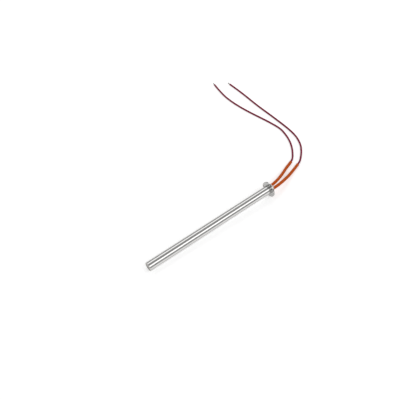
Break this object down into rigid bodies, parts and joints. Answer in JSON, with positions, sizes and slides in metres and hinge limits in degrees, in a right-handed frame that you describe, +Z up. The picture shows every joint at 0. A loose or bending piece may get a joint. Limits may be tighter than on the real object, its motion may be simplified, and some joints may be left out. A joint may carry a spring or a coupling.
{
  "type": "cartridge heater",
  "caption": "Stainless cartridge heater with a closed tip, a round two-hole screw flange at its lead end, and sleeved flexible leads that lie beside it.",
  "frame": {"origin": "on the sheath's axis, at the flange's seating face", "axes": "+X level towards the tip, +Z up from the table that the heater lies on, +Y to the side of lead b. The heater lies on its flange's rim and its tip, so the sheath slopes down by 1.57 degrees from +X"},
  "size_m": [0.2589, 0.2025, 0.019],
  "materials": {
    "sheath": "ground stainless steel with fine lines round it",
    "end_disc": "machined stainless steel with a weld ring",
    "flange": "satin stainless plate",
    "weld": "weld bead, slightly tinted by heat",
    "magnesia": "matt fired magnesia",
    "winding": "dark resistance wire",
    "pin": "plain nickel",
    "crimp": "plated barrel",
    "cement": "pale matt potting cement",
    "sleeve": "orange coated glass braid",
    "lead": "crimson insulation with a slight sheen",
    "conductor": "tinned strands"
  },
  "bodies": {
    "root": {"sheath_tube": "sheath", "end_disc": "end_disc", "mounting_flange": "flange", "flange_weld": "weld", "bottom_insulator": "magnesia", "core_segment_1": "magnesia", "core_segment_2": "magnesia", "core_segment_3": "magnesia", "core_segment_4": "magnesia", "resistance_coil": "winding", "long_pin": "pin", "short_pin": "pin", "mgo_fill": "magnesia", "top_spacer": "magnesia", "cement_seal": "cement", "crimp_a": "crimp", "crimp_b": "crimp", "strand_end_a": "conductor", "strand_end_b": "conductor", "sleeve_a": "sleeve", "sleeve_b": "sleeve", "lead_a": "lead", "lead_b": "lead", "lead_tip_a": "conductor", "lead_tip_b": "conductor"}
  },
  "joints": []
}
